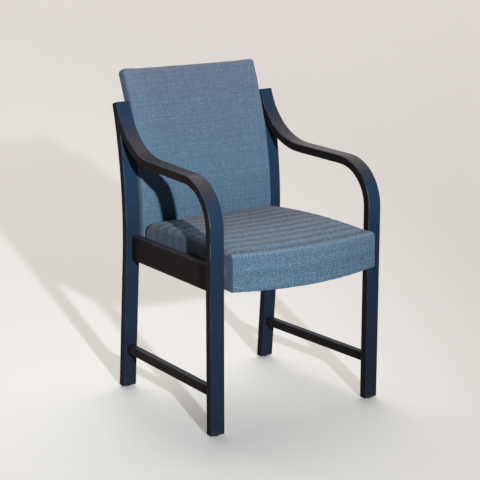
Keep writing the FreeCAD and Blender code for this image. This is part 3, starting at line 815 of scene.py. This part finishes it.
def seat_rings(size):
    """Start of the seat's cover: a pillow over the seat's plan less its slack, with a sharper edge along
    the front and a rounder one at the rear corners. The foam's crown is a parabola from front to rear,
    fuller at the sides, where the filling swells least."""
    side_slack = size.slack * 0.6
    outline = seat_outline(size, side_slack, size.slack, cover_points)
    at_front = 1.0 - smooth(outline[:, 1] - seat_front(size, outline[:, 0]), 0.004, 0.03)
    at_side = smooth(np.abs(outline[:, 0]), size.half_width - 0.07, size.half_width - 0.02)
    at_rear = smooth(outline[:, 1], seat_high.y - 0.05, seat_high.y)
    edge = size.top_round + (size.front_edge - size.top_round) * at_front
    edge += size.corner_ease * at_rear * at_side
    rings = pillow_rings(outline, seat_low.z, seat_high.z - size.slack, size.low_round, edge)
    x, y, z = np.moveaxis(rings, 2, 0)
    front = seat_front(size, np.clip(x, -size.half_width, size.half_width))
    depth = (y - (front + seat_high.y) / 2) / ((seat_high.y - front) / 2)
    bulge = (1.0 - np.minimum(depth ** 2, 1.0)) * (1.0 + 0.9 * (x / size.half_width) ** 2)
    z += size.crown * bulge * (z - seat_low.z) / (seat_high.z - seat_low.z)
    return rings


class CHAIR_OT_seat_cushion(bpy.types.Operator):
    """Upholster the seat: a filled cover over its outline, open below where the frame and board sit"""

    bl_idname = "chair.seat_cushion"
    bl_label = "Seat cushion"
    bl_options = {"REGISTER", "UNDO"}

    def execute(self, context):
        size, cloth = context.scene.chair_seat, context.scene.chair_cloth
        rings = seat_rings(size)
        piece = new_piece("upholstered_seat", rings, ring_faces(*rings.shape[:2]))
        fill_cover(piece, seat_low.z + size.held, size.swell, cloth)
        mesh = piece.data
        points, normals = read_points(mesh), read_points(mesh, "normals")
        points = pull_taut(points, seat_outline(size, -size.side_pull, -size.front_pull, outline_points))
        # Pressed flat where the legs, the floor of the seat and the back cushion stop it.
        room = seat_half(size, points[:, 1])
        points[:, 0] = np.clip(points[:, 0], size.left_inset - room, room + size.right_outset)
        points[:, 1] = np.minimum(points[:, 1], seat_high.y - side_gap)
        points[:, 2] = np.clip(points[:, 2], seat_low.z, seat_high.z + size.rise)
        front = seat_front(size, np.clip(points[:, 0], -size.half_width, size.half_width))
        points[:, 1] = np.maximum(points[:, 1], front - size.front_outset)
        # The bands follow the bowed front, and behind it they straighten.
        u, v = wrapped(points, normals, seat_high.z, seat_low.y)
        v -= (front - seat_low.y) * np.exp(-np.maximum(points[:, 1] - front, 0.0) / 0.08)
        lay_cloth(mesh, u, v, smooth(normals[:, 2], 0.3, 0.9))
        # Drawn tight round the frame's lower edge: heights near the bottom shrink with their square.
        share = np.clip((points[:, 2] - seat_low.z) / size.tuck, 0.0, 1.0)
        points[:, 2] -= size.tuck * share * (1.0 - share) + 0.0005 * (share < 0.5)
        # The cover is open below: inside the hem it is pushed up to the board that it is stretched over.
        sides = np.minimum(room - np.abs(points[:, 0]), seat_high.y - points[:, 1])
        inside = (sides > size.hem) & (points[:, 1] - front > size.front_hem)
        below = (normals[:, 2] < -0.5) & (points[:, 2] < seat_low.z + size.tuck)
        points[inside & below, 2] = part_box("seat_board")[1].z + board_gap
        # The front edge of the foam hangs a little under the frame between the corners.
        hang = 1.0 - (points[:, 0] / size.half_width) ** 2
        hang *= 1.0 - smooth(points[:, 1] - front, 0.0, 0.02)
        points[:, 2] -= size.front_sag * hang * (1.0 - smooth(points[:, 2] - seat_low.z, 0.0, 0.06))
        write_points(mesh, points)
        dress(piece, tweed("seat_tweed", cloth, cloth.seat_band, seat_weave))
        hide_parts("seat_cushion")
        return {"FINISHED"}


def from_edge(size, points, half):
    """How far each point of a flat back, of a half width, lies inside the nearest of its four edges."""
    low, high = size.radius * size.bottom_angle, size.radius * size.top_angle
    lengthwise = np.minimum(points[:, 1] - low, high - points[:, 1])
    return np.minimum(half - np.abs(points[:, 0]), lengthwise)


def bend_back(size, points):
    """Bend a piece that lies flat: its length runs along an arc of the front face's radius, its height is
    taken from the arc's centre, and its width closes in with the side frames."""
    angle = points[:, 1] / size.radius
    reach = size.radius - size.thickness + points[:, 2]
    y = back_low.y + size.radius - reach * np.cos(angle)
    z = size.level + reach * np.sin(angle)
    half = size.half_width - math.tan(bpy.context.scene.chair_seat.toe_in) * (y - back_low.y)
    return np.stack([points[:, 0] / size.half_width * half, y, z], axis=1)


def back_rings(size):
    """Start of the back's cover, lying flat: a pillow over its pattern less its slack, with a rounder
    edge along the top, away from the corners."""
    outline = back_outline(size, size.slack * 0.5, cover_points)
    high = size.radius * size.top_angle
    along_top = smooth(outline[:, 1], high - 0.040, high - 0.004)
    at_side = smooth(np.abs(outline[:, 0]), size.half_width - 0.060, size.half_width - 0.010)
    edge = size.edge_round + size.top_ease * along_top * (1.0 - at_side)
    return pillow_rings(outline, 0.0, size.thickness - size.slack, size.rear_edge, edge)


class CHAIR_OT_back_cushion(bpy.types.Operator):
    """Upholster the back: a filled cover, made flat and bent to the posts, open behind for its frame"""

    bl_idname = "chair.back_cushion"
    bl_label = "Back cushion"
    bl_options = {"REGISTER", "UNDO"}

    def execute(self, context):
        size, cloth = context.scene.chair_back, context.scene.chair_cloth
        low, high = size.radius * size.bottom_angle, size.radius * size.top_angle
        rings = back_rings(size)
        piece = new_piece("upholstered_back", rings, ring_faces(*rings.shape[:2]))
        fill_cover(piece, size.held, size.swell, cloth)
        mesh = piece.data
        points, normals = read_points(mesh), read_points(mesh, "normals")
        points = pull_taut(points, back_outline(size, 0.0, outline_points))
        # Pressed flat between the posts and where the seat stands against it.
        room = size.half_width - side_gap
        points[:, 0] = np.clip(points[:, 0], -room, room)
        points[:, 1] = np.clip(points[:, 1], low, high + 0.001)
        crown = size.crown * smooth(points[:, 1], 0.02, 0.12)
        points[:, 2] = np.clip(points[:, 2], 0.0, size.thickness + crown)
        u, v = wrapped(points, normals, size.thickness, low)
        lay_cloth(mesh, u, v, smooth(normals[:, 2], 0.5, 0.98))
        # Open behind: inside the hem the cover is pushed forward to the panel that it is stretched over.
        behind = (normals[:, 2] < -0.5) & (points[:, 2] < size.held)
        panel = back_low.y + size.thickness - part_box("back_panel")[0].y
        points[(from_edge(size, points, room) > size.hem) & behind, 2] = panel + board_gap
        # Above the posts nothing holds the sides, so they swell with the sixth power of the way from the
        # middle.
        free = smooth(points[:, 1], high - 0.090, high - 0.055) * (points[:, 0] / size.half_width) ** 6
        points[:, 0] *= 1.0 + size.free_top / size.half_width * free
        write_points(mesh, bend_back(size, points))
        dress(piece, tweed("back_tweed", cloth, cloth.back_band, back_weave))
        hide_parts("back_cushion")
        return {"FINISHED"}


class CHAIR_OT_rear_cover(bpy.types.Operator):
    """Cover the rear of the back: a thin padded panel, fullest in the middle and drawn in at its edge"""

    bl_idname = "chair.rear_cover"
    bl_label = "Rear cover"
    bl_options = {"REGISTER", "UNDO"}

    def execute(self, context):
        size, cloth = context.scene.chair_back, context.scene.chair_cloth
        outline = back_outline(size, 0.0012, 320)
        depth = size.cover_thickness
        rings = pillow_rings(outline, -depth, 0.0, depth * 0.8, 0.0004)
        points = rings.reshape(-1, 3)
        u, v = points[:, 0].copy(), points[:, 1] - size.radius * size.bottom_angle
        # Drawn thinner by up to three tenths within 50 mm of the edge.
        thinned = 1.0 - 0.30 * (1.0 - smooth(from_edge(size, points, size.half_width), 0.0, 0.05))
        points[:, 2] = np.where(points[:, 2] < -0.001, points[:, 2] * thinned, points[:, 2])
        piece = new_piece("upholstered_rear_cover", bend_back(size, points), ring_faces(*rings.shape[:2]))
        piece.data.shade_smooth()
        lay_cloth(piece.data, u, v, np.ones(len(u)))
        # The rear cover takes the back's cloth, with its painted light and shade along it.
        dress(piece, tweed("rear_tweed", cloth, cloth.back_band, back_weave))
        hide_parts("back_rear_cover")
        return {"FINISHED"}


class CHAIR_OT_dust_cover(bpy.types.Operator):
    """Stretch the dust cover under the seat: it hangs a little in the middle and puckers at its edge"""

    bl_idname = "chair.dust_cover"
    bl_label = "Dust cover"
    bl_options = {"REGISTER", "UNDO"}

    def execute(self, context):
        size = context.scene.chair_seat
        around, puckers, felt_thickness = 360, 64, 0.0006
        outline = seat_outline(size, size.hem, size.front_hem, around)
        middle = (outline.min(axis=0) + outline.max(axis=0)) / 2
        share = np.linspace(0.02, 1.0, 40)[:, None]
        plan = middle + (outline - middle)[None] * share[..., None]
        turn = np.linspace(0.0, 2 * math.pi, around, endpoint=False)[None]
        pucker = 0.0005 * np.abs(np.sin(turn * puckers)) * share ** 8
        level = seat_low.z + felt_thickness - size.sag * (1.0 - share ** 2) ** 2 - pucker
        points = np.concatenate([plan, level[..., None]], axis=2)
        piece = new_piece("dust_cover", points, ring_faces(*points.shape[:2], sheet=True))
        piece.data.shade_smooth()
        felt = piece.modifiers.new("felt", "SOLIDIFY")
        felt.thickness = felt_thickness
        felt.offset = -1.0
        dress(piece, felted_cloth(context.scene.chair_finish))
        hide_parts("seat_dust_cover")
        return {"FINISHED"}


class CHAIR_OT_seat_spacers(bpy.types.Operator):
    """Turn the steel spacers that keep the seat off the legs: a ring with eased rims round each bolt"""

    bl_idname = "chair.seat_spacers"
    bl_label = "Seat spacers"
    bl_options = {"REGISTER", "UNDO"}

    def execute(self, context):
        size = context.scene.chair_seat
        low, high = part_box("seat_spacers")
        outer = (high.z - low.z) / 2
        ease, bore = 0.0007, outer * 0.42
        # Section of a ring: how far along the axis from the leg, and how far from the axis.
        length = size.spacer
        along = np.array([0.0, 0.0, ease, length / 2, length - ease, length, length])
        away = np.array([bore, outer - ease, outer, outer, outer, outer - ease, bore])
        turn = np.linspace(0.0, 2 * math.pi, 48, endpoint=False)[:, None]
        ring = np.stack(
            np.broadcast_arrays(along[None], away * np.cos(turn), away * np.sin(turn)), axis=-1)
        grid = np.arange(ring.shape[0] * ring.shape[1]).reshape(ring.shape[:2])
        beside, after = np.roll(grid, -1, axis=1), np.roll(grid, -1, axis=0)
        quads = np.stack([grid, after, np.roll(after, -1, axis=1), beside], axis=-1).reshape(-1, 4)
        points, faces = [], []
        for y in (low.y + outer, high.y - outer):
            inset = math.tan(size.toe_in) * (y - low.y - outer)
            for side in (-1.0, 1.0):
                placed = ring * (-side, 1.0, 1.0) + (side * (high.x - inset), y, (low.z + high.z) / 2)
                placed[..., 1] += ring[..., 0] * math.tan(size.toe_in)
                faces += ((quads if side < 0 else quads[:, ::-1]) + len(points) * grid.size).tolist()
                points.append(placed.reshape(-1, 3))
        piece = new_piece("steel_spacers", np.concatenate(points), faces)
        dress(piece, frame["nodes"]["seat_bolts"].data.materials[0])
        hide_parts("seat_spacers")
        return {"FINISHED"}


def stage_floor(settings):
    """A round sheet, level at the glides' soles: each ring's radius is the same multiple of the last."""
    inner, outer = 0.3, 36.0
    turn = np.linspace(0.0, 2 * math.pi, 96, endpoint=False)
    radius = inner * (outer / inner) ** np.linspace(0.0, 1.0, 24)
    ring = np.stack([np.cos(turn), np.sin(turn), np.zeros_like(turn)], axis=1)
    points = radius[:, None, None] * ring[None] + np.array([0.0, 0.0, cad_low.z])
    floor = new_piece("floor", points, ring_faces(*points.shape[:2], sheet=True))
    floor.data.materials.append(pale_floor(settings))


def stage_lamp(name, kind, towards, colour, aim=Vector(), distance=3.0):
    """A lamp that stands in a direction from its aim, at a distance, and points at it."""
    light = bpy.data.lights.new(name, kind)
    light.color = colour
    holder = bpy.data.objects.new(name, light)
    holder.location = aim + towards.normalized() * distance
    holder.rotation_mode = "QUATERNION"
    holder.rotation_quaternion = (-towards).to_track_quat("-Z", "Y")
    bpy.context.scene.collection.objects.link(holder)
    return light


def stage_lamps(settings):
    """A key lamp low in front, a broad lamp overhead and a broad low lamp behind."""
    level = math.cos(settings.key_elevation)
    towards = Vector((
        math.sin(settings.key_azimuth) * level, -math.cos(settings.key_azimuth) * level,
        math.sin(settings.key_elevation)))
    key = stage_lamp(
        "key", "SPOT", towards, settings.key_colour, Vector(settings.key_aim), settings.key_distance)
    key.energy = settings.key_strength * 4 * math.pi * settings.key_distance ** 2
    key.shadow_soft_size = settings.key_size
    key.spot_size = settings.key_cone
    key.spot_blend = 1.0
    overhead = stage_lamp("overhead", "SUN", Vector(settings.top_from), settings.top_colour)
    overhead.energy = settings.top_strength
    overhead.angle = settings.top_spread
    behind = stage_lamp("behind", "SUN", Vector(settings.rear_from), settings.rear_colour)
    behind.energy = settings.rear_strength
    behind.angle = settings.rear_spread


def stage_world(scene, settings):
    """Surroundings that give a little light and are seen as a plain backdrop."""
    scene.world = scene.world or bpy.data.worlds.new("surroundings")
    scene.world.use_nodes = True
    nodes = Nodes(scene.world.node_tree)
    background = nodes.tree.nodes["Background"]
    background.inputs["Color"].default_value = (*settings.ambient_colour, 1.0)
    background.inputs["Strength"].default_value = settings.ambient
    light = Tone(background.outputs[0])
    backdrop = nodes.add("ShaderNodeBackground", None, {"Color": (*settings.backdrop, 1.0)})[0]
    shown = nodes.add("ShaderNodeMixShader", None, {0: nodes.seen(), 1: light, 2: backdrop})[0]
    join(nodes.tree.nodes["World Output"].inputs["Surface"], shown)


def stage_camera(scene, settings):
    """A camera where the photograph was taken from."""
    view = bpy.data.cameras.new("photo_view")
    view.sensor_width = 36.0
    view.lens = settings.lens
    view.clip_start = 0.05
    view.clip_end = 200.0
    camera = bpy.data.objects.new("photo_view", view)
    eye, aim = Vector(settings.eye), Vector(settings.aim)
    camera.location = eye
    camera.rotation_mode = "QUATERNION"
    camera.rotation_quaternion = (aim - eye).to_track_quat("-Z", "Y")
    scene.collection.objects.link(camera)
    scene.camera = camera


class CHAIR_OT_stage(bpy.types.Operator):
    """Set the pale floor, the lamps, the surrounding light and the camera"""

    bl_idname = "chair.stage"
    bl_label = "Stage"
    bl_options = {"REGISTER", "UNDO"}

    def execute(self, context):
        scene, settings = context.scene, context.scene.chair_stage
        stage_floor(settings)
        stage_lamps(settings)
        stage_world(scene, settings)
        stage_camera(scene, settings)
        scene.view_settings.view_transform = "Standard"
        return {"FINISHED"}


operators = (
    CHAIR_OT_finish_solids,
    CHAIR_OT_seat_cushion,
    CHAIR_OT_back_cushion,
    CHAIR_OT_rear_cover,
    CHAIR_OT_dust_cover,
    CHAIR_OT_seat_spacers,
    CHAIR_OT_stage,
)


class CHAIR_PT_panel(bpy.types.Panel):
    """Lists the steps that dress the chair"""

    bl_label = "Visitor chair"
    bl_idname = "CHAIR_PT_panel"
    bl_space_type = "VIEW_3D"
    bl_region_type = "UI"
    bl_category = "Chair"

    def draw(self, context):
        for operator in operators:
            self.layout.operator(operator.bl_idname)


groups = {
    "chair_seat": ChairSeatSettings,
    "chair_back": ChairBackSettings,
    "chair_cloth": ChairClothSettings,
    "chair_finish": ChairFinishSettings,
    "chair_stage": ChairStageSettings,
}


def register():
    for cls in (*groups.values(), *operators, CHAIR_PT_panel):
        bpy.utils.register_class(cls)
    for name, cls in groups.items():
        setattr(bpy.types.Scene, name, PointerProperty(type=cls))


def unregister():
    for name in groups:
        delattr(bpy.types.Scene, name)
    for cls in reversed((*groups.values(), *operators, CHAIR_PT_panel)):
        bpy.utils.unregister_class(cls)


def main():
    register()
    bpy.ops.chair.finish_solids()
    bpy.ops.chair.seat_cushion()
    bpy.ops.chair.back_cushion()
    bpy.ops.chair.rear_cover()
    bpy.ops.chair.dust_cover()
    bpy.ops.chair.seat_spacers()
    bpy.ops.chair.stage()


if __name__ == "__main__":
    main()
